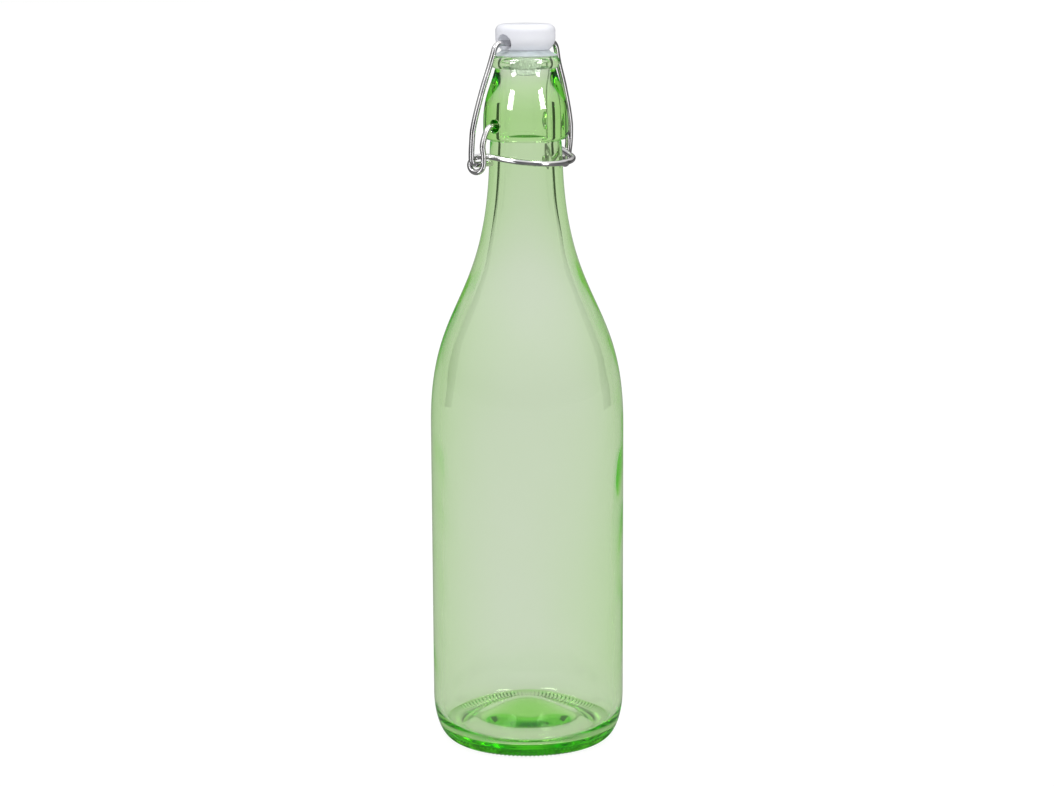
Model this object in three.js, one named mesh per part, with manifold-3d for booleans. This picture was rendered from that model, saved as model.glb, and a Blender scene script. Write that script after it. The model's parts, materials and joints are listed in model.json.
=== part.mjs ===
// A one-litre swing-top glass bottle, standing upright on its base.
// Millimetres, +Z up, origin at the centre of the base. The closure hinges about X and opens towards -Y.
import * as THREE from "three";
import { mergeVertices } from "three/addons/utils/BufferGeometryUtils.js";
import Module from "manifold-3d";

const wasm = await Module();
wasm.setup();

// ---- Driving dimensions ----

// Bottle, from the base up
const bodyDiameter = 85;
const bodyHeight = 142; // straight side, up to the start of the shoulder
const bodyWall = 3;
const bearingDiameter = 69; // outside of the ring that the bottle stands on
const bearingWidth = 2.4;
const heelHeight = 20;
const puntHeight = 6; // rise of the hollow under the base
const puntFullness = 0.7; // share of the hollow's radius that its crown pulls flat
const floorThickness = 9; // at the middle
const floorEdge = 6.4; // the same, over the bearing ring
const floorSpread = 22; // radius to which the floor's edge pulls flat
const floorFullness = 11; // radius to which its crown pulls flat
const shoulderHeight = 112;
const neckDiameter = 32.2; // at the top of the shoulder
const neckHeight = 13.5;
const neckTaper = 1.4; // the neck's loss of diameter up to the collar
const shoulderFullness = 55; // length of the shoulder's pull along the body
const neckFlare = 60; // length of its pull along the neck
const boreFlare = 67; // the same pull on the inside, which starts higher
const boreLean = 2; // how far that pull leans out
const boreFlareStart = 11; // above the neck's lower end
const boreDiameter = 22.4;
const collarDiameter = 36.8;
const collarHeight = 30.5;
const collarSkirt = 7; // the collar's straight stretch above its lower edge
const collarEdge = 2.2; // rounding of the lower edge
const collarFullness = 11.3; // length of the collar's pull above its skirt
const throatDiameter = 26; // under the lip
const throatPull = 7.6; // length of the collar's pull below the lip
const throatFlare = 2; // and how far that pull leans out
const lipDiameter = 29.8;
const lipHeight = 5;
const mouthRounding = 1;

// Pivot dimples, one on each side of the collar
const pivotRise = 6.5; // above the collar's lower edge
const dimpleDepth = 3.6;
const dimpleFlare = 1; // 45 degree opening of its mouth

// Closure
const wireDiameter = 2.5;
const stopperDiameter = 25.9;
const stopperHeight = 11.3;
const stopperEdge = 3.2; // rounding of the top edge
const seatDiameter = 20.7; // underside of the stopper's head
const seatFlare = 5; // height over which the head widens
const crossWireRise = 3; // above the head's underside
const recessHeight = 7; // the oval hollow at each end of the stopper's cross hole
const recessWidth = 8;
const recessDepth = 4.6;
const recessRise = 0.3; // from the cross wire to the middle of the hollow
const plugDiameter = 13.6;
const plugDepth = 9.2; // below the lip
const plugRounding = 1.5;
const gasketThickness = 2.4;
const gasketDiameter = 27.4;
const gasketBevel = 0.5; // on its lower edge
const eyeOutset = 7.4; // from the side of the collar to the middle of a lever eye
const eyeDrop = 16; // below the pivots
const eyeSetback = 3; // behind the pivots, which holds the closure over centre
const eyeToeIn = 16; // degrees that the front of each eye turns in towards the neck
const arcStandoff = 3; // from the neck to the lever's front arc
const arcDrop = 3; // fall of the front arc below the tops of the eyes

// Clearances
const faceGap = 0.3; // between pieces that touch
const holeClearance = 0.4; // around a wire in the stopper
const eyeClearance = 0.8; // around a wire in an eye
const pinClearance = 0.9; // from the tip of a pivot pin to the bottom of its dimple
const pinPlay = 1.15; // around the pin in its dimple
const passingGap = 0.6; // between the two wires where they pass
const coilGap = 0.42; // between an eye's first and last turn, which pass at the front
const hookGap = 1.2; // from the bail's hooked ends to the neck
const bendRadius = 3; // inside of the bail's upper bends
const hookBendRadius = 1.6; // inside of the bends into the eyes

// ---- Levels and places worked out from them ----

const wireRadius = wireDiameter / 2;
const bendMiddle = bendRadius + wireRadius;
const hookBend = hookBendRadius + wireRadius;
const dimpleRadius = wireRadius + pinPlay;
const bodyRadius = bodyDiameter / 2;
const neckRadius = neckDiameter / 2;
const collarRadius = collarDiameter / 2;
const boreRadius = boreDiameter / 2;
const bearingRadius = bearingDiameter / 2;
const neckStart = bodyHeight + shoulderHeight;
const collarStart = neckStart + neckHeight;
const collarTop = collarStart + collarHeight;
const lipTop = collarTop + lipHeight;
const pivotHeight = collarStart + pivotRise;
const gasketStart = lipTop + faceGap;
const seatHeight = gasketStart + gasketThickness + faceGap;
const crossWireHeight = seatHeight + crossWireRise;
const coilRadius = wireDiameter + eyeClearance;
const eyeOut = collarRadius + eyeOutset;
const bailOut = eyeOut + wireDiameter + passingGap;

// ---- Shapes ----

const point = (x, y) => new THREE.Vector2(x, y);
const place = (x, y, z) => new THREE.Vector3(x, y, z);
const line = (a, b) => new THREE.LineCurve(a, b);

// Joins stretches of [curve, steps] into one run of points, without doubles where they meet.
function outline(...stretches) {
  const points = stretches.flatMap(([curve, steps]) => curve.getPoints(steps));
  return points.filter((p, i) => i === 0 || p.distanceTo(points[i - 1]) > 0.001);
}

// A profile of (radius, height) turned about the upright axis.
function turned(profile, sides) {
  return new THREE.LatheGeometry(profile, sides).rotateX(Math.PI / 2);
}

// A round wire bent along a path of points.
function bentWire(points, step, sides) {
  const path = new THREE.CatmullRomCurve3(points, false, "centripetal");
  const section = Array.from({ length: sides }, (_, i) => {
    const angle = (2 * Math.PI * i) / sides;
    return point(wireRadius * Math.cos(angle), wireRadius * Math.sin(angle));
  });
  return new THREE.ExtrudeGeometry(new THREE.Shape(section), {
    steps: Math.round(path.getLength() / step),
    extrudePath: path,
  });
}

// Points round a bend in an upright plane, from one angle to another about its centre.
function bend(x, y, z, radius, from, to) {
  return [0, 1, 2, 3].map((i) => {
    const angle = THREE.MathUtils.degToRad(from + ((to - from) * i) / 3);
    return place(x + radius * Math.cos(angle), y, z + radius * Math.sin(angle));
  });
}

// The points of one half of a wire and their mirror image on the other side of X = 0.
function bothSides(half) {
  const mirrored = half.map((p) => place(-p.x, p.y, p.z)).reverse();
  const middle = half[half.length - 1].x === 0 ? 1 : 0;
  return [...half, ...mirrored.slice(middle)];
}

// ---- Solids for cuts ----

function toSolid(geometry) {
  const bare = geometry.clone().deleteAttribute("normal").deleteAttribute("uv");
  const merged = mergeVertices(bare, 1e-4);
  return new wasm.Manifold(
    new wasm.Mesh({
      numProp: 3,
      vertProperties: merged.attributes.position.array,
      triVerts: new Uint32Array(merged.index.array),
    }),
  );
}

function toGeometry(solid) {
  const mesh = solid.getMesh();
  const geometry = new THREE.BufferGeometry();
  geometry.setAttribute("position", new THREE.BufferAttribute(mesh.vertProperties, 3));
  geometry.setIndex(new THREE.BufferAttribute(mesh.triVerts, 1));
  geometry.computeVertexNormals();
  return geometry;
}

function cut(blank, cutters) {
  return toGeometry(cutters.reduce((solid, cutter) => solid.subtract(toSolid(cutter)), toSolid(blank)));
}

// ---- Bottle ----

function outerWall() {
  const neckTop = neckRadius - neckTaper / 2;
  const neckSlope = (neckRadius - neckTop) / neckHeight;
  const shoulder = new THREE.CubicBezierCurve(
    point(bodyRadius, bodyHeight),
    point(bodyRadius, bodyHeight + shoulderFullness),
    point(neckRadius + neckSlope * neckFlare, neckStart - neckFlare),
    point(neckRadius, neckStart),
  );
  const throatRadius = throatDiameter / 2;
  const lipRadius = lipDiameter / 2;
  const collar = new THREE.CubicBezierCurve(
    point(collarRadius, collarStart + collarSkirt),
    point(collarRadius, collarStart + collarSkirt + collarFullness),
    point(throatRadius + throatFlare, collarTop - throatPull),
    point(throatRadius, collarTop),
  );
  const heel = new THREE.EllipseCurve(
    bearingRadius, heelHeight, bodyRadius - bearingRadius, heelHeight, -Math.PI / 2, 0,
  );
  const lip = new THREE.EllipseCurve(
    throatRadius, collarTop + lipHeight / 2,
    lipRadius - throatRadius, lipHeight / 2, -Math.PI / 2, Math.PI / 2,
  );
  const edge = new THREE.EllipseCurve(
    collarRadius - collarEdge, collarStart + collarEdge, collarEdge, collarEdge, -Math.PI / 2, 0,
  );
  return outline(
    [heel, 5],
    [shoulder, 12],
    [line(point(neckRadius, neckStart), point(neckTop, collarStart)), 1],
    [edge, 3],
    [collar, 6],
    [lip, 5],
  );
}

function underside() {
  const inner = bearingRadius - bearingWidth;
  const punt = new THREE.QuadraticBezierCurve(
    point(0, puntHeight),
    point(puntFullness * inner, puntHeight),
    point(inner, 0),
  );
  return outline([punt, 5]);
}

function innerWall() {
  const innerRadius = bodyRadius - bodyWall;
  const floor = puntHeight + floorThickness;
  const mouth = new THREE.EllipseCurve(
    boreRadius + mouthRounding, lipTop - mouthRounding, mouthRounding, mouthRounding, Math.PI / 2, Math.PI,
  );
  const flareTop = neckStart + boreFlareStart;
  const shoulder = new THREE.CubicBezierCurve(
    point(boreRadius, flareTop),
    point(boreRadius + boreLean, flareTop - boreFlare),
    point(innerRadius, bodyHeight + shoulderFullness),
    point(innerRadius, bodyHeight),
  );
  const heel = new THREE.QuadraticBezierCurve(
    point(innerRadius, heelHeight),
    point(innerRadius, floorEdge),
    point(bearingRadius - bearingWidth, floorEdge),
  );
  const dome = new THREE.CubicBezierCurve(
    point(bearingRadius - bearingWidth, floorEdge),
    point(floorSpread, floorEdge),
    point(floorFullness, floor),
    point(0, floor),
  );
  return outline([mouth, 2], [shoulder, 10], [heel, 4], [dome, 5]);
}

// A round-ended hole that enters the collar from its side.
function dimple(side) {
  const mouth = dimpleRadius + dimpleFlare;
  const end = dimpleDepth + dimpleFlare;
  const profile = outline(
    [new THREE.EllipseCurve(0, dimpleRadius, dimpleRadius, dimpleRadius, -Math.PI / 2, 0), 4],
    [line(point(dimpleRadius, dimpleDepth), point(mouth, end)), 1],
    [line(point(mouth, end), point(0, end)), 1],
  );
  return new THREE.LatheGeometry(profile, 16)
    .translate(0, -dimpleDepth, 0)
    .rotateZ(-side * (Math.PI / 2))
    .translate(side * collarRadius, 0, pivotHeight);
}

function bottleGlass() {
  const blank = turned([...underside(), ...outerWall(), ...innerWall()], 48);
  return cut(blank, [dimple(1), dimple(-1)]);
}

// ---- Stopper and gasket, with their heights above the stopper's seat ----

function stopper() {
  const stemRadius = plugDiameter / 2;
  const headRadius = stopperDiameter / 2;
  const plugEnd = lipTop - plugDepth - seatHeight;
  const roundingStart = stemRadius - plugRounding;
  const blank = turned(
    outline(
      [line(point(0, plugEnd), point(roundingStart, plugEnd)), 1],
      [new THREE.EllipseCurve(
        roundingStart, plugEnd + plugRounding, plugRounding, plugRounding, -Math.PI / 2, 0,
      ), 3],
      [line(point(stemRadius, 0), point(seatDiameter / 2, 0)), 1],
      [new THREE.QuadraticBezierCurve(
        point(seatDiameter / 2, 0),
        point(headRadius, 0.5 * seatFlare),
        point(headRadius, seatFlare),
      ), 4],
      [new THREE.EllipseCurve(
        headRadius - stopperEdge, stopperHeight - stopperEdge, stopperEdge, stopperEdge, 0, Math.PI / 2,
      ), 4],
      [line(point(headRadius - stopperEdge, stopperHeight), point(0, stopperHeight)), 1],
    ),
    32,
  );
  const hole = new THREE.CylinderGeometry(
    wireRadius + holeClearance, wireRadius + holeClearance, stopperDiameter + 2, 16,
  )
    .rotateZ(Math.PI / 2)
    .translate(0, 0, crossWireRise);
  const recess = (side) =>
    new THREE.SphereGeometry(1, 20, 12)
      .scale(recessDepth, recessWidth / 2, recessHeight / 2)
      .translate(side * headRadius, 0, crossWireRise + recessRise);
  return cut(blank, [hole, recess(1), recess(-1)]);
}

function gasket() {
  const inner = plugDiameter / 2 + faceGap;
  const low = gasketDiameter / 2;
  const high = seatDiameter / 2;
  const top = gasketThickness;
  return turned(
    outline(
      [line(point(inner, 0), point(low - gasketBevel, 0)), 1],
      [line(point(low - gasketBevel, 0), point(low, gasketBevel)), 1],
      [line(point(low, gasketBevel), point(high, top)), 1],
      [line(point(high, top), point(inner, top)), 1],
      [line(point(inner, top), point(inner, 0)), 1],
    ),
    32,
  );
}

// ---- Lever bail: the lower wire, with places measured from the pivots ----

// The bend from the pin down into the leg, as distances out from the collar and down.
const pinBend = [
  [-0.5, 0],
  [0.8, 0],
  [3.2, 0.6],
  [5.3, 3.6],
];

// Each eye is three quarters of a turn: down the front, under, up the back and over the top.
// A pair is a turn in degrees and how far the wire stands out there.
const eyeTurns = [
  [0, 0],
  [45, 0.3],
  [90, 0.5],
  [135, 0.5],
  [180, 0.2],
  [225, -0.5],
  [270, -1.3],
];

const arcTurns = [20, 42, 66]; // degrees from the side of the neck towards its front
const legLean = 0.6; // how far the leg's middle stands in from its eye
const legStraight = 0.6; // the leg's straight end above its eye

function leverHalf() {
  const toe = THREE.MathUtils.degToRad(eyeToeIn);
  const arcRadius = neckRadius + arcStandoff + wireRadius;
  const tip = collarRadius - dimpleDepth + pinClearance;
  const arcStart = -eyeDrop + coilRadius;
  const legOut = eyeOut - coilRadius * Math.sin(toe);
  const front = eyeSetback - coilRadius * Math.cos(toe);
  const coil = eyeTurns.map(([turn, outward]) => {
    const angle = THREE.MathUtils.degToRad(turn);
    const ahead = coilRadius * Math.cos(angle);
    return place(
      eyeOut + outward - ahead * Math.sin(toe),
      eyeSetback - ahead * Math.cos(toe),
      -eyeDrop - coilRadius * Math.sin(angle),
    );
  });
  const arc = arcTurns.map((turn) => {
    const angle = THREE.MathUtils.degToRad(turn);
    const drop = arcDrop * Math.sin(angle);
    return place(arcRadius * Math.cos(angle), -arcRadius * Math.sin(angle), arcStart - drop);
  });
  return [
    place(tip, 0, 0),
    ...pinBend.map(([out, down]) => place(collarRadius + out, 0, -down)),
    place(eyeOut - legLean, 0.5 * front, -0.5 * eyeDrop),
    place(legOut, front, arcStart + legStraight),
    ...coil,
    place(legOut - wireDiameter - coilGap, front, arcStart),
    ...arc,
    place(0, -arcRadius, arcStart - arcDrop),
  ];
}

// ---- Stopper bail: the upper wire, with places measured from its cross wire ----

// The leg's S-curve, as shares of the way out from the stopper and of the way down to the eyes.
const legWaist = [
  [0.56, 0.4],
  [0.16, 0.18],
];
const legNarrowing = 0.4; // how far the leg comes in beside the pivots
const legSwell = 0.2; // and how far it stands out below them
const bendLead = 1.4; // straight wire before a bend, as a multiple of its radius

function bailHalf() {
  const eyeBelow = crossWireHeight - pivotHeight + eyeDrop;
  const topOut = stopperDiameter / 2 + wireRadius + bendMiddle;
  const pivotShare = (crossWireHeight - pivotHeight) / eyeBelow;
  const at = (x, share) => place(x, share * eyeSetback, -share * eyeBelow);
  return [
    place(neckRadius + hookGap, eyeSetback, -eyeBelow),
    place(bailOut - bendLead * bendMiddle, eyeSetback, -eyeBelow),
    ...bend(bailOut - hookBend, eyeSetback, hookBend - eyeBelow, hookBend, -90, 0),
    at(bailOut + legSwell, 0.5 * (1 + pivotShare)),
    at(bailOut - legNarrowing, pivotShare),
    ...legWaist.map(([out, down]) => at(topOut + out * (bailOut - topOut), down)),
    ...bend(topOut - bendMiddle, 0, -bendMiddle, bendMiddle, 10, 90),
    place(topOut - bendLead * bendMiddle, 0, 0),
    place(0, 0, 0),
  ];
}

// ---- Assembly ----

const glass = new THREE.MeshStandardMaterial({
  color: 0xa9cf8a, roughness: 0.05, metalness: 0, transparent: true, opacity: 0.35,
});
const whitePlastic = new THREE.MeshStandardMaterial({ color: 0xf2f3f7, roughness: 0.35, metalness: 0 });
const clearRubber = new THREE.MeshStandardMaterial({ color: 0xd5dde0, roughness: 0.5, metalness: 0 });
const steel = new THREE.MeshStandardMaterial({ color: 0xc8c8cc, roughness: 0.22, metalness: 1 });

function piece(name, geometry, material) {
  const mesh = new THREE.Mesh(geometry, material);
  mesh.name = name;
  return mesh;
}

const bottle = new THREE.Group();
bottle.add(piece("bottle_glass", bottleGlass(), glass));

const head = new THREE.Group();
head.position.z = seatHeight;
const seal = piece("gasket", gasket(), clearRubber);
seal.position.z = gasketStart - seatHeight;
head.add(piece("stopper", stopper(), whitePlastic), seal);
bottle.add(head);

const lever = piece("lever_bail", bentWire(bothSides(leverHalf()), 1.4, 10), steel);
lever.position.z = pivotHeight;
bottle.add(lever);

const bail = piece("stopper_bail", bentWire(bothSides(bailHalf()), 1.8, 10), steel);
bail.position.z = crossWireHeight;
bottle.add(bail);

export default bottle;
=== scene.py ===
import json
import math

import bmesh
import bpy
from mathutils import Matrix, Vector, noise
from mathutils.geometry import interpolate_bezier


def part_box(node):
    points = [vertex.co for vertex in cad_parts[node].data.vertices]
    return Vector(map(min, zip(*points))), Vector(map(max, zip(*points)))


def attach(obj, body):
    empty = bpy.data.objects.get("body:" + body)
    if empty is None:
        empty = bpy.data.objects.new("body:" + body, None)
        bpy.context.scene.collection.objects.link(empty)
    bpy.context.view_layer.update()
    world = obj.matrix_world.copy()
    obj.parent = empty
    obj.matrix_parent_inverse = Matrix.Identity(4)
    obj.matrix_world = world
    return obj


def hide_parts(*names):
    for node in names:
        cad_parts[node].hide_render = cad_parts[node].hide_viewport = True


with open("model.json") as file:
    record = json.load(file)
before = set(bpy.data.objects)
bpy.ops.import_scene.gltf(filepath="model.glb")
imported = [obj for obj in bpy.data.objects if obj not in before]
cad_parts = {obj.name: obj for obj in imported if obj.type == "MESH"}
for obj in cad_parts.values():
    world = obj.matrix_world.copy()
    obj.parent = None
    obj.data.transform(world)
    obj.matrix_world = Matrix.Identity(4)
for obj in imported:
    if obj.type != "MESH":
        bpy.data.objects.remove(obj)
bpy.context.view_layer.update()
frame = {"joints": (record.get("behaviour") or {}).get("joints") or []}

joint_at = {joint["name"]: Vector(joint["pos_m"]) for joint in frame["joints"]}


# ==== Glass bottle ====
# One piece of pale green glass, blown in a two-part mould, so its outside is true and its inside
# wanders a little. Two dimples in the collar take the lever's pins, and the bottle stands on a
# knurled ring round a pushed-up base.

mm = 0.001
bottle_low, bottle_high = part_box("bottle_glass")
body_radius = bottle_high.x
lip_top = bottle_high.z
pivot = joint_at["lever_swing"]

lip_radius = 14.9 * mm
throat_radius = 13 * mm
lip_height = 5 * mm
collar_top = lip_top - lip_height
collar_radius = 18.4 * mm
collar_height = 30.5 * mm
collar_start = collar_top - collar_height
neck_height = 13.5 * mm
neck_start = collar_start - neck_height
neck_radius = 16.1 * mm
neck_top_radius = 15.4 * mm
bore_radius = 11.2 * mm
body_height = neck_start - 112 * mm
body_wall = 3 * mm
shoulder_pull = 55 * mm
neck_pull = 60 * mm
bearing_outer = 34.5 * mm
bearing_inner = 32.1 * mm
punt_height = 6 * mm
floor_wall = 9 * mm
floor_edge = 6.4 * mm
heel_height = 20 * mm
dimple_depth = 3.6 * mm


def at(radius, height):
    """A point of an outline: its distance from the upright axis, and its height."""
    return Vector((radius, 0, height))


def curve(start, pull_start, pull_end, end, steps):
    """A bent stretch of an outline, without its last point, which the next stretch brings."""
    return interpolate_bezier(start, pull_start, pull_end, end, steps + 1)[:-1]


def arc(centre, across, up, start, end, steps):
    """A round or oval stretch of an outline between two angles in degrees."""
    angles = [math.radians(start + (end - start) * i / steps) for i in range(steps)]
    return [at(centre.x + across * math.cos(a), centre.z + up * math.sin(a)) for a in angles]


def turned(outline, steps):
    """The closed or axis-to-axis outline, spun a full turn about the upright axis."""
    form = bmesh.new()
    points = [form.verts.new(point) for point in outline]
    edges = [form.edges.new(pair) for pair in zip(points, points[1:])]
    bmesh.ops.spin(
        form, geom=points + edges, cent=(0, 0, 0), axis=(0, 0, 1),
        angle=math.tau, steps=steps, use_merge=True,
    )
    bmesh.ops.remove_doubles(form, verts=form.verts, dist=0.002 * mm)
    bmesh.ops.recalc_face_normals(form, faces=form.faces)
    for face in form.faces:
        face.smooth = True
    return form


def made(name, form):
    """The finished form as an object at the origin."""
    mesh = bpy.data.meshes.new(name)
    form.to_mesh(mesh)
    form.free()
    piece = bpy.data.objects.new(name, mesh)
    bpy.context.scene.collection.objects.link(piece)
    return piece


def bottle_outline():
    """From the middle of the base, up the outside, over the lip, and down the inside."""
    slope = (neck_radius - neck_top_radius) / neck_height
    inner = body_radius - body_wall
    floor_middle = punt_height + floor_wall
    flare_top = neck_start + 11 * mm
    edge = 2.2 * mm
    ledge = 0.8 * mm
    edge_top = collar_start + edge
    skirt_top = collar_start + 7 * mm
    throat = at(throat_radius + 0.3 * mm, collar_top - 0.8 * mm)
    mouth = lip_top - mm
    outside = [
        *curve(at(0, punt_height), at(0.5 * bearing_inner, punt_height),
               at(0.85 * bearing_inner, 0.5 * punt_height), at(bearing_inner, 0), 16),
        at(bearing_inner, 0),
        at(bearing_inner + 0.8 * mm, 0),
        at(bearing_outer - 0.8 * mm, 0),
        *arc(at(bearing_outer, heel_height), body_radius - bearing_outer, heel_height, -90, 0, 22),
        *[at(body_radius, heel_height + (body_height - heel_height) * i / 12) for i in range(12)],
        *curve(at(body_radius, body_height), at(body_radius, body_height + shoulder_pull),
               at(neck_radius + slope * neck_pull, neck_start - neck_pull),
               at(neck_radius, neck_start), 48),
        at(neck_radius, neck_start),
        at(neck_radius - 0.5 * slope * neck_height, neck_start + 0.5 * neck_height),
        at(neck_top_radius + 0.1 * mm, collar_start - 1.2 * mm),
        *curve(at(neck_top_radius, collar_start - ledge), at(neck_top_radius, collar_start),
               at(neck_top_radius, collar_start), at(neck_top_radius + ledge, collar_start), 4),
        *arc(at(collar_radius - edge, edge_top), edge, edge, -90, 0, 9),
        *[at(collar_radius, edge_top + (skirt_top - edge_top) * i / 5) for i in range(5)],
        *curve(at(collar_radius, skirt_top), at(collar_radius, collar_start + 0.6 * collar_height),
               at(throat_radius + 2 * mm, collar_top - 0.25 * collar_height), throat, 36),
        *curve(throat, at(throat_radius, collar_top - 0.1 * mm), at(throat_radius, collar_top),
               at(throat_radius + 0.4 * mm, collar_top + 0.25 * mm), 4),
        *arc(at(throat_radius, collar_top + 0.5 * lip_height),
             lip_radius - throat_radius, 0.5 * lip_height, -78, 90, 18),
        at(throat_radius, lip_top),
        at(throat_radius - 0.6 * mm, lip_top),
    ]
    inside = [
        *arc(at(bore_radius + mm, mouth), mm, mm, 90, 180, 6),
        *[at(bore_radius, mouth - (mouth - flare_top) * i / 12) for i in range(12)],
        *curve(at(bore_radius, flare_top), at(bore_radius + 2 * mm, flare_top - 67 * mm),
               at(inner, body_height + shoulder_pull), at(inner, body_height), 44),
        *[at(inner, body_height - (body_height - heel_height) * i / 40) for i in range(40)],
        *curve(at(inner, heel_height), at(inner, heel_height - 9 * mm),
               at(inner - 2.5 * mm, floor_edge), at(bearing_inner, floor_edge), 16),
        *curve(at(bearing_inner, floor_edge), at(22 * mm, floor_edge),
               at(11 * mm, floor_middle), at(0, floor_middle), 18),
        at(0, floor_middle),
    ]
    return outside + inside


def press_dimples(form):
    """Two round-bottomed dimples in the collar, one on each side."""
    rim = 3.1 * mm
    flat = 1.5 * mm
    reach = 4 * mm

    def offset(vert):
        return math.hypot(vert.co.y, vert.co.z - pivot.z)

    def outer(vert):
        return abs(vert.co.x) > collar_radius - 2 * mm and offset(vert) < reach

    for _ in range(2):
        near = [edge for edge in form.edges if all(outer(vert) for vert in edge.verts)]
        bmesh.ops.subdivide_edges(form, edges=near, cuts=1, use_grid_fill=True)
    for vert in form.verts:
        if outer(vert):
            share = min(max((rim - offset(vert)) / (rim - flat), 0), 1)
            vert.co.x -= math.copysign(dimple_depth * share * share * (3 - 2 * share), vert.co.x)


def wander(form):
    """The inside of the blown wall is a little oval, and drifts by a few tenths of a millimetre."""
    thick_side = math.radians(-43)
    form.normal_update()
    for vert in form.verts:
        radius = math.hypot(vert.co.x, vert.co.y)
        inward = -(vert.normal.x * vert.co.x + vert.normal.y * vert.co.y) / max(radius, mm)
        above_floor = min(max((vert.co.z - 12 * mm) / (20 * mm), 0), 1)
        below_collar = min(max((collar_start - vert.co.z) / (60 * mm), 0), 1)
        fade = above_floor * below_collar
        if inward > 0.3 and fade > 0:
            drift = noise.noise(Vector((vert.co.x * 22, vert.co.y * 22, vert.co.z * 9)))
            ripple = noise.noise(vert.co * 70)
            oval = math.cos(2 * (math.atan2(vert.co.y, vert.co.x) - thick_side))
            change = 0.6 * mm * drift + 0.15 * mm * ripple - 0.45 * mm * oval
            vert.co.xy *= 1 + fade * change / radius


def knurl(form, teeth):
    """Short notches all round the edge that the bottle stands on, sharp enough to catch the light."""
    depth = 0.6 * mm
    lift = 0.36 * mm
    band = 4.5 * mm
    for vert in form.verts:
        radius = math.hypot(vert.co.x, vert.co.y)
        turn = round(math.atan2(vert.co.y, vert.co.x) / math.tau * 2 * teeth)
        fade = min(max(3 - 3 * vert.co.z / band, 0), 1)
        if radius > bearing_inner - mm and fade:
            for face in vert.link_faces:
                face.smooth = False
            if turn % 2:
                vert.co.z += lift * fade
                vert.co.xy *= 1 - depth * fade * (radius > bearing_outer) / radius


class Amount:
    """A number that varies over a surface. Sums and products of it add Math nodes."""

    def __init__(self, nodes, socket):
        self.nodes = nodes
        self.socket = socket

    def maths(self, operation, first, second):
        return self.nodes.add("ShaderNodeMath", {"operation": operation}, [first, second])

    def __add__(self, other):
        return self.maths("ADD", self, other)

    def __sub__(self, other):
        return self.maths("SUBTRACT", self, other)

    def __rsub__(self, other):
        return self.maths("SUBTRACT", other, self)

    def __mul__(self, other):
        return self.maths("MULTIPLY", self, other)

    def __pow__(self, other):
        return self.maths("POWER", self, other)

    __radd__ = __add__
    __rmul__ = __mul__


class Nodes:
    """A node tree, and the ways that this file adds to it."""

    def __init__(self, tree):
        self.tree = tree

    def add(self, kind, settings, inputs, output=0):
        """A node of any kind: its settings, then the values or links of its sockets."""
        node = self.tree.nodes.new(kind)
        for name, value in settings.items():
            if name == "stops":
                for element, (position, colour) in zip(node.color_ramp.elements, value):
                    element.position = position
                    element.color = (*colour, 1)
            else:
                setattr(node, name, value)
        for key, value in inputs.items() if isinstance(inputs, dict) else enumerate(inputs):
            self.feed(node.inputs[key], value)
        return Amount(self, node.outputs[output])

    def feed(self, socket, value):
        if isinstance(value, Amount):
            self.tree.links.new(value.socket, socket)
        else:
            socket.default_value = value


class Finish(Nodes):
    """A material made of nodes round one Principled shader."""

    def __init__(self, name):
        self.material = bpy.data.materials.new(name)
        self.material.use_nodes = True
        super().__init__(self.material.node_tree)
        self.shader = self.tree.nodes["Principled BSDF"]

    def set(self, **values):
        """Sets the shader's own sockets, named with _ for each space."""
        for name, value in values.items():
            self.feed(self.shader.inputs[name.replace("_", " ")], value)

    def speckle(self, scale, detail=2.0, rough=0.5):
        """Soft noise through the piece, from 0 to 1, with scale patches to the metre."""
        place = self.add("ShaderNodeTexCoord", {}, [], "Object")
        grain = {"Vector": place, "Scale": scale, "Detail": detail, "Roughness": rough}
        return self.add("ShaderNodeTexNoise", {}, grain, "Fac")

    def shade(self, amount, dark, light):
        """A colour between two, by an amount from 0.3 to 0.7."""
        return self.add("ShaderNodeValToRGB", {"stops": [(0.3, dark), (0.7, light)]}, [amount], "Color")

    def bump(self, height, distance):
        relief = {"Height": height, "Distance": distance}
        self.set(Normal=self.add("ShaderNodeBump", {}, relief, "Normal"))


def green_glass():
    """Clear glass, lightly smeared, that takes its green from the depth that light crosses."""
    finish = Finish("green_glass")
    finish.set(Base_Color=(1, 1, 1, 1), Transmission_Weight=1.0, IOR=1.52)
    smear = finish.speckle(60, 3.0)
    finish.set(Roughness=0.004 + 0.012 * smear ** 2)
    finish.bump(finish.speckle(38, 1.0), 0.00012)
    tint = finish.tree.nodes.new("ShaderNodeVolumeAbsorption")
    tint.inputs["Color"].default_value = (0.46, 0.92, 0.06, 1)
    tint.inputs["Density"].default_value = 66
    finish.tree.links.new(tint.outputs[0], finish.tree.nodes["Material Output"].inputs["Volume"])
    return finish.material


knurl_teeth = 120
bottle_form = turned(bottle_outline(), 2 * knurl_teeth)
wander(bottle_form)
knurl(bottle_form, knurl_teeth)
press_dimples(bottle_form)
bottle = made("glass_bottle", bottle_form)
bottle.data.materials.append(green_glass())
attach(bottle, "bottle")
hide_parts("bottle_glass")


# ==== Lever wire ====
# One length of polished stainless steel wire. Its two inturned ends are the pins that turn in the
# collar's dimples, each eye is a three-quarter coil that the upper wire hooks into, and the arc
# across the front of the neck is the lever that a thumb lifts.

wire_radius = 1.25 * mm
eye = joint_at["bail_swing"]
eye_out = collar_radius + 7.4 * mm
coil_radius = 3.3 * mm
eye_drop = pivot.z - eye.z
toe_in = math.radians(16)
pin_clearance = 0.9 * mm


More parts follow.
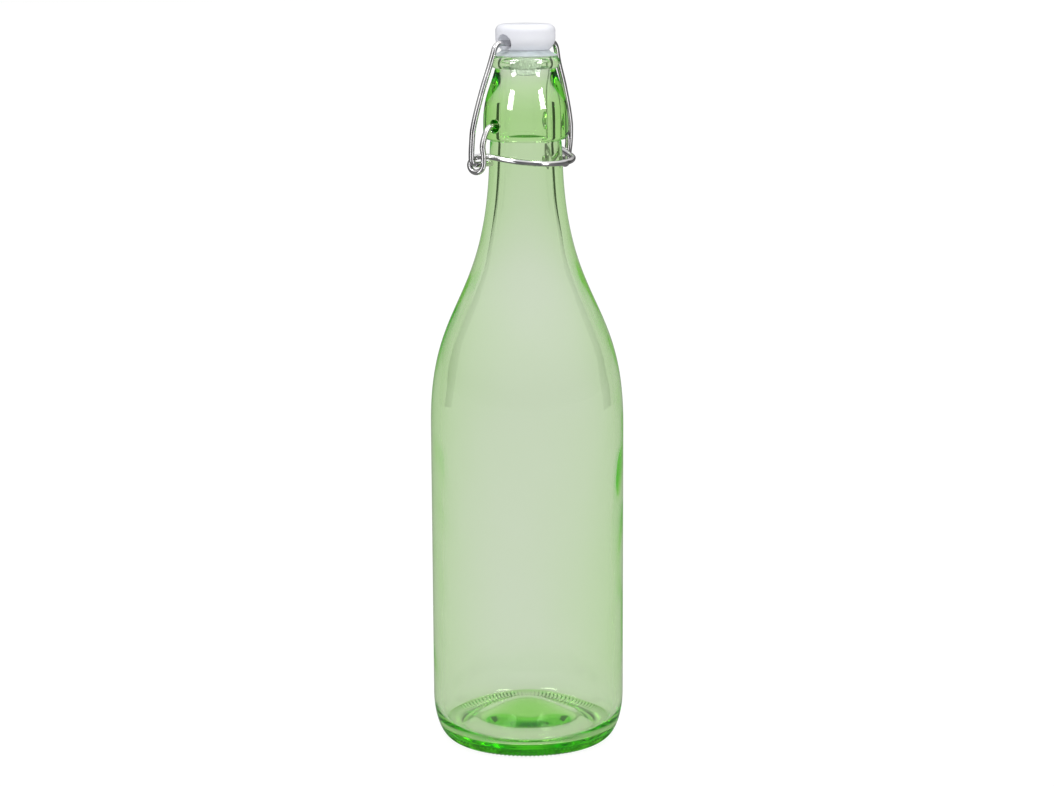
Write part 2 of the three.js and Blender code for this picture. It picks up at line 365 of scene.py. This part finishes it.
def route(points, step):
    """A smooth run through the points, as a bent wire takes it."""
    run = []
    last = len(points) - 1
    for i in range(last):
        start, end = points[i], points[i + 1]
        pull = (end - start).length / 3
        leave = (end - points[max(i - 1, 0)]).normalized() * pull
        arrive = (points[min(i + 2, last)] - start).normalized() * pull
        count = max(round(3 * pull / step), 1)
        run += interpolate_bezier(start, start + leave, end - arrive, end, count + 1)[:-1]
    return run + [points[last]]


def both_sides(half):
    """One half of a wire, from its end to the middle, and its mirror image."""
    mirrored = [Vector((-point.x, point.y, point.z)) for point in reversed(half)]
    return half + mirrored[1:]


def bent_wire(name, points, sides=24, step=0.5 * mm):
    """A round section carried along the route, with its ends cut square and dressed."""
    run = route(points, step)
    headings = [(b - a).normalized() for a, b in zip(run, run[1:])]
    form = bmesh.new()
    facing = headings[0].to_track_quat("Z", "Y").to_matrix().to_4x4()
    bmesh.ops.create_circle(
        form, radius=wire_radius, segments=sides, matrix=Matrix.Translation(run[0]) @ facing,
    )
    edges = list(form.edges)
    for i in range(1, len(run)):
        grown = bmesh.ops.extrude_edge_only(form, edges=edges)["geom"]
        ring = [item for item in grown if isinstance(item, bmesh.types.BMVert)]
        new = set(ring)
        edges = [item for item in grown if isinstance(item, bmesh.types.BMEdge) and set(item.verts) <= new]
        bmesh.ops.translate(form, vec=run[i] - run[i - 1], verts=ring)
        ahead = (headings[min(i, len(headings) - 1)] + headings[i - 1]).normalized()
        behind = (headings[i - 1] + headings[max(i - 2, 0)]).normalized()
        turn = behind.rotation_difference(ahead).to_matrix()
        bmesh.ops.rotate(form, cent=run[i], matrix=turn, verts=ring)
    open_edges = [edge for edge in form.edges if edge.is_boundary]
    bmesh.ops.holes_fill(form, edges=open_edges, sides=0)
    bmesh.ops.bevel(
        form, geom=open_edges, offset=0.3 * mm, segments=3, profile=0.5, affect="EDGES", material=-1,
    )
    bmesh.ops.recalc_face_normals(form, faces=form.faces)
    for face in form.faces:
        face.smooth = True
    return made(name, form)


def lever_points():
    """Half of the lever, from the tip of its pin to the middle of its arc."""
    arc_radius = neck_radius + 3 * mm + wire_radius
    top = eye.z + coil_radius
    leg_out = eye_out - coil_radius * math.sin(toe_in)
    front = eye.y - coil_radius * math.cos(toe_in)
    outward = {0: 0, 45: 0.3, 90: 0.5, 135: 0.5, 180: 0.2, 225: -0.5, 270: -1.3}
    coil = []
    for turn, out in outward.items():
        ahead = coil_radius * math.cos(math.radians(turn))
        coil.append(Vector((
            eye_out + out * mm - ahead * math.sin(toe_in),
            eye.y - ahead * math.cos(toe_in),
            eye.z - coil_radius * math.sin(math.radians(turn)),
        )))
    front_arc = []
    for turn in (20, 42, 66):
        across, ahead = math.cos(math.radians(turn)), math.sin(math.radians(turn))
        front_arc.append(Vector((arc_radius * across, -arc_radius * ahead, top - 3 * mm * ahead)))
    return [
        Vector((collar_radius - dimple_depth + pin_clearance, 0, pivot.z)),
        Vector((collar_radius - 0.5 * mm, 0, pivot.z)),
        Vector((collar_radius + 0.8 * mm, 0, pivot.z)),
        Vector((collar_radius + 3.2 * mm, 0, pivot.z - 0.6 * mm)),
        Vector((collar_radius + 5.3 * mm, 0, pivot.z - 3.6 * mm)),
        Vector((eye_out - 0.6 * mm, 0.5 * front, pivot.z - 0.5 * eye_drop)),
        Vector((leg_out, front, top + 0.6 * mm)),
        *coil,
        Vector((leg_out - 2.92 * mm, front, top)),
        *front_arc,
        Vector((0, -arc_radius, top - 3 * mm)),
    ]


def polished_steel():
    """Bright drawn wire, a little cloudy where hands and the polishing wheel have rubbed it."""
    finish = Finish("polished_steel")
    rub = finish.speckle(900, 4.0, 0.6)
    cloud = finish.speckle(140, 2.0)
    finish.set(Metallic=1.0, Roughness=0.1 + 0.12 * rub * cloud)
    finish.set(Base_Color=finish.shade(cloud, (0.5, 0.5, 0.52), (0.72, 0.71, 0.7)))
    finish.bump(rub, 0.000004)
    return finish.material


steel = polished_steel()
lever = bent_wire("lever_wire", both_sides(lever_points()))
lever.data.materials.append(steel)
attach(lever, "lever")
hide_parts("lever_bail")


# ==== Stopper ====
# A moulded head of white plastic with a short plug under it. The wire runs through a cross hole,
# which opens into an oval hollow at each side so that the wire can be sprung in.

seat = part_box("gasket")[1].z + 0.05 * mm
stopper_low, stopper_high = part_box("stopper")
head_radius = stopper_high.x
cross_wire = joint_at["stopper_tilt"]


def stopper_outline():
    """From the end of the plug, up past the seat, to the middle of the slightly crowned top."""
    plug = 6.8 * mm
    end = stopper_low.z
    top = stopper_high.z
    crown = 0.35 * mm
    edge = 3.6 * mm
    return [
        at(0, end),
        *[at((plug - 1.5 * mm) * i / 3, end) for i in range(1, 3)],
        *arc(at(plug - 1.5 * mm, end + 1.5 * mm), 1.5 * mm, 1.5 * mm, -90, 0, 8),
        *[at(plug, end + 1.5 * mm + (seat - end - 2 * mm) * i / 6) for i in range(6)],
        *arc(at(plug + 0.5 * mm, seat - 0.5 * mm), 0.5 * mm, 0.5 * mm, 180, 90, 4),
        *[at(plug + 0.5 * mm + (2.6 * mm) * i / 3, seat) for i in range(3)],
        *arc(at(10.1 * mm, seat + 0.2 * mm), 0.2 * mm, 0.2 * mm, -90, -30, 4),
        *curve(at(10.28 * mm, seat + 0.1 * mm), at(11.8 * mm, seat + 1.5 * mm),
               at(head_radius, seat + 3.2 * mm), at(head_radius, seat + 5.6 * mm), 14),
        *curve(at(head_radius, seat + 5.6 * mm), at(head_radius, seat + 6.4 * mm),
               at(head_radius, top - edge - 0.5 * mm), at(head_radius, top - edge), 5),
        *curve(at(head_radius, top - edge), at(head_radius, top - 1.6 * mm),
               at(head_radius - 1.5 * mm, top - crown), at(head_radius - edge, top - crown), 14),
        *curve(at(head_radius - edge, top - crown), at(head_radius - 5 * mm, top - crown),
               at(5 * mm, top), at(0, top), 10),
        at(0, top),
    ]


def carved(piece, cutters):
    """Cuts the forms out of the piece and keeps the result as its mesh."""
    for cutter in cutters:
        cut = piece.modifiers.new("cut", "BOOLEAN")
        cut.operation = "DIFFERENCE"
        cut.solver = "EXACT"
        cut.object = cutter
    graph = bpy.context.evaluated_depsgraph_get()
    mesh = bpy.data.meshes.new_from_object(piece.evaluated_get(graph))
    piece.modifiers.clear()
    piece.data = mesh
    for cutter in cutters:
        bpy.data.objects.remove(cutter)


def hollow(side):
    """The oval hollow at one end of the cross hole."""
    form = bmesh.new()
    bmesh.ops.create_uvsphere(form, u_segments=48, v_segments=32, radius=1)
    bmesh.ops.scale(form, vec=(4.6 * mm, 4 * mm, 3.5 * mm), verts=form.verts)
    rise = 0.3 * mm
    bmesh.ops.translate(form, vec=(side * head_radius, 0, cross_wire.z + rise), verts=form.verts)
    return made("hollow", form)


def cross_hole():
    """The round hole for the wire, right through the head."""
    hole = wire_radius + 0.4 * mm
    form = bmesh.new()
    bmesh.ops.create_cone(
        form, cap_ends=True, segments=48, radius1=hole, radius2=hole,
        depth=2 * head_radius + 4 * mm,
        matrix=Matrix.Translation(cross_wire) @ Matrix.Rotation(math.pi / 2, 4, "Y"),
    )
    return made("cross_hole", form)


def white_plastic():
    """Smooth moulded plastic that lets a little light in."""
    finish = Finish("white_plastic")
    grain = finish.speckle(1400, 3.0)
    cloud = finish.speckle(120, 2.0)
    finish.set(
        Base_Color=finish.shade(cloud, (0.85, 0.86, 0.93), (0.89, 0.9, 0.96)),
        Roughness=0.26 + 0.12 * grain,
        Subsurface_Weight=0.25,
        Subsurface_Radius=(1.0, 1.0, 1.0),
        Subsurface_Scale=0.0015,
    )
    finish.bump(grain, 0.00002)
    return finish.material


stopper = made("stopper_head", turned(stopper_outline(), 128))
carved(stopper, [cross_hole(), hollow(1), hollow(-1)])
stopper.data.materials.append(white_plastic())
stopper.data.shade_smooth()
stopper.data.set_sharp_from_angle(angle=math.radians(35))
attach(stopper, "head")
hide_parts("stopper")


# ==== Gasket ====
# A thick conical washer of milky silicone rubber, pushed over the plug. It flares down to the lip
# and is squeezed between the lip and the head.

gasket_low, gasket_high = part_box("gasket")


def gasket_outline():
    """The washer's section: flat above and below, and flared towards the lip."""
    bore = 7.1 * mm
    low = gasket_low.z
    high = gasket_high.z
    wide = gasket_high.x
    narrow = 10.4 * mm
    soft = 0.3 * mm
    ring = [
        *arc(at(bore + soft, low + soft), soft, soft, 180, 270, 5),
        *[at(bore + soft + (wide - bore - 3 * soft) * i / 8, low) for i in range(8)],
        *arc(at(wide - soft, low + soft), soft, soft, -90, 30, 8),
        *curve(at(wide - 0.13 * soft, low + 1.5 * soft), at(wide - 0.8 * mm, low + 1.1 * mm),
               at(narrow + 0.5 * mm, high - 1.0 * mm), at(narrow + 0.2 * mm, high - soft), 10),
        *arc(at(narrow - 0.15 * mm, high - soft), soft, soft, 0, 90, 5),
        *[at(narrow - 0.15 * mm - (narrow - bore - 2 * soft) * i / 6, high) for i in range(6)],
        *arc(at(bore + soft, high - soft), soft, soft, 90, 180, 5),
    ]
    return ring + [at(bore, low + soft)]


def milky_rubber():
    """Soft translucent silicone."""
    finish = Finish("milky_rubber")
    cloud = finish.speckle(260, 3.0)
    finish.set(
        Base_Color=finish.shade(cloud, (0.5, 0.56, 0.58), (0.62, 0.68, 0.7)),
        Roughness=0.3 + 0.2 * cloud,
        Subsurface_Weight=0.6,
        Subsurface_Radius=(1.0, 1.0, 1.0),
        Subsurface_Scale=0.003,
        IOR=1.41,
    )
    finish.bump(finish.speckle(2500, 2.0), 0.00001)
    return finish.material


gasket = made("rubber_gasket", turned(gasket_outline(), 128))
gasket.data.materials.append(milky_rubber())
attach(gasket, "head")
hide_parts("gasket")


# ==== Bail wire ====
# The upper wire, of the same steel. It is sprung through the stopper, widens to clear the collar,
# and ends in two short hooks that turn in the lever's eyes.

bail_out = eye_out + 2 * wire_radius + 0.6 * mm


def corner(x, y, z, radius, start, end):
    """Four points round a bend in an upright plane, between two angles in degrees."""
    angles = [math.radians(start + (end - start) * i / 3) for i in range(4)]
    return [Vector((x + radius * math.cos(a), y, z + radius * math.sin(a))) for a in angles]


def bail_points():
    """Half of the bail, from the tip of its hook to the middle of its cross wire."""
    hook_bend = 2.85 * mm
    top_bend = 4.25 * mm
    top_out = head_radius + wire_radius + top_bend
    pivot_share = (cross_wire.z - pivot.z) / (cross_wire.z - eye.z)

    def leg(x, share):
        return Vector((x, share * eye.y, cross_wire.z + share * (eye.z - cross_wire.z)))

    return [
        Vector((neck_radius + 1.2 * mm, eye.y, eye.z)),
        Vector((bail_out - 1.4 * top_bend, eye.y, eye.z)),
        *corner(bail_out - hook_bend, eye.y, eye.z + hook_bend, hook_bend, -90, 0),
        leg(bail_out + 0.2 * mm, 0.5 + 0.5 * pivot_share),
        leg(bail_out - 0.4 * mm, pivot_share),
        leg(top_out + 0.56 * (bail_out - top_out), 0.4),
        leg(top_out + 0.16 * (bail_out - top_out), 0.18),
        *corner(top_out - top_bend, 0, cross_wire.z - top_bend, top_bend, 10, 90),
        Vector((top_out - 1.4 * top_bend, 0, cross_wire.z)),
        Vector((0, 0, cross_wire.z)),
    ]


bail = bent_wire("bail_wire", both_sides(bail_points()))
bail.data.materials.append(steel)
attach(bail, "bail")
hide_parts("stopper_bail")


# ==== Stage ====
# A white light table under a white sky, with two soft boxes above the front. Two dark cards behind
# the bottle draw the edges of the glass. Lamps that light only the glass put a pair of glints on
# the collar and on the heel, and two tall ones that light only the wires make them gleam.

view_turn = math.radians(-43)
toward_camera = Vector((math.sin(view_turn), -math.cos(view_turn), 0))
to_the_right = Vector((math.cos(view_turn), math.sin(view_turn), 0))
scene = bpy.context.scene


def stage_place(ahead, right, up):
    """A place on the stage, in metres towards the camera, to its right, and up."""
    return ahead * toward_camera + right * to_the_right + Vector((0, 0, up))


def beside(turn, reach, up):
    """A place at some degrees to one side of the camera, as seen from the bottle's axis."""
    turn = math.radians(turn)
    return stage_place(reach * math.cos(turn), reach * math.sin(turn), up)


def aimed(thing, place, target):
    """Puts a lamp, card or camera in its place and turns it to face a target."""
    thing.location = place
    thing.rotation_euler = (target - place).to_track_quat("-Z", "Y").to_euler()


def soft_box(name, place, target, width, height, brightness):
    """A lamp of the given brightness, as seen in a reflection, that the camera doesn't see."""
    lamp = bpy.data.lights.new(name, "AREA")
    lamp.shape = "RECTANGLE"
    lamp.size = width
    lamp.size_y = height
    lamp.energy = brightness * math.pi * width * height
    box = bpy.data.objects.new(name, lamp)
    scene.collection.objects.link(box)
    aimed(box, place, target)
    box.visible_camera = False
    box.visible_transmission = False
    return box


def mirrored_in(nodes):
    """1 for a ray that a surface has reflected, which leaves out those that pass through glass."""
    glossy = nodes.add("ShaderNodeLightPath", {}, [], "Is Glossy Ray")
    return glossy * (1 - nodes.add("ShaderNodeLightPath", {}, [], "Is Transmission Ray"))


def light_table():
    """White, and lit from below so that it takes almost no shadow. Reflections show it dimmer."""
    finish = Finish("light_table")
    seen = finish.add("ShaderNodeLightPath", {}, [], "Is Camera Ray")
    finish.set(Base_Color=(0.15, 0.15, 0.15, 1), Roughness=0.9, Specular_IOR_Level=0.0)
    finish.set(Emission_Color=0.58 + 0.34 * seen - 0.5 * mirrored_in(finish), Emission_Strength=1.0)
    return finish.material


def dark_card():
    """Matt black card."""
    finish = Finish("dark_card")
    finish.set(Base_Color=(0.05, 0.06, 0.05, 1), Roughness=0.9)
    return finish.material


table = bmesh.new()
bmesh.ops.create_circle(table, cap_ends=True, segments=96, radius=12)
ground = made("floor", table)
ground.data.materials.append(light_table())

for side in (-1, 1):
    form = bmesh.new()
    bmesh.ops.create_grid(form, x_segments=1, y_segments=1, size=0.5)
    bmesh.ops.scale(form, vec=(0.16, 0.5, 1), verts=form.verts)
    card = made("dark_card", form)
    aimed(card, stage_place(-0.3, side * 0.5, 0.33), Vector((0, 0, 0.28)))
    card.data.materials.append(dark_card())
    card.visible_camera = False
    card.visible_shadow = False

glass_only = bpy.data.collections.new("glass_only")
glass_only.objects.link(bottle)
wires_only = bpy.data.collections.new("wires_only")
wires_only.objects.link(lever)
wires_only.objects.link(bail)
heel = Vector((0, 0, 0.02))
for turn in (-41, 46):
    strip = soft_box("collar_strip", beside(turn, 0.095, 0.318), Vector((0, 0, 0.3)), 0.026, 0.04, 22)
    strip.light_linking.receiver_collection = glass_only
    soft_box("key", beside(turn, 0.5, 1.0), heel, 0.16, 0.16, 18)
    gleam = soft_box("wire_gleam", beside(turn, 0.35, 0.27), Vector((0, 0, 0.27)), 0.09, 0.5, 2.6)
    gleam.light_linking.receiver_collection = wires_only
    glint = soft_box("heel_glint", beside(1.35 * turn, 0.42, 0.78), heel, 0.15, 0.26, 45)
    glint.light_linking.receiver_collection = glass_only
    glint.visible_transmission = True

world = bpy.data.worlds.new("sky")
world.use_nodes = True
scene.world = world
sky = Nodes(world.node_tree)
outlook = sky.add("ShaderNodeTexCoord", {}, [], "Generated")
height = sky.add("ShaderNodeSeparateXYZ", {}, [outlook], "Z")
seen = sky.add("ShaderNodeLightPath", {}, [], "Is Camera Ray")
scattered = sky.add("ShaderNodeLightPath", {}, [], "Is Diffuse Ray")
mirrored = mirrored_in(sky)
through = sky.add("ShaderNodeMapRange", {}, [height, 0.35, 0.85, 0.72, 0.4])
band = sky.add("ShaderNodeMapRange", {}, [height, 0.1, 0.75, 0.04, 1.3])
brightness = through + 0.28 * seen + 0.3 * scattered
brightness = brightness * (1 - mirrored) + band * mirrored
sky.feed(sky.tree.nodes["Background"].inputs["Strength"], brightness)
sky.feed(sky.tree.nodes["Background"].inputs["Color"], (1, 1, 1, 1))

camera_data = bpy.data.cameras.new("camera")
camera_data.lens = 83.8
camera_data.sensor_width = 36
camera_data.clip_end = 50
camera = bpy.data.objects.new("camera", camera_data)
scene.collection.objects.link(camera)
scene.camera = camera
aimed(camera, stage_place(1.063, 0, 0.356), Vector((0, 0, 0.1555)))
camera.rotation_euler.rotate_axis("Z", math.radians(-0.27))
scene.view_settings.view_transform = "Standard"
scene.cycles.max_bounces = 64
scene.cycles.transmission_bounces = 64
scene.cycles.glossy_bounces = 64

bpy.context.view_layer.update()
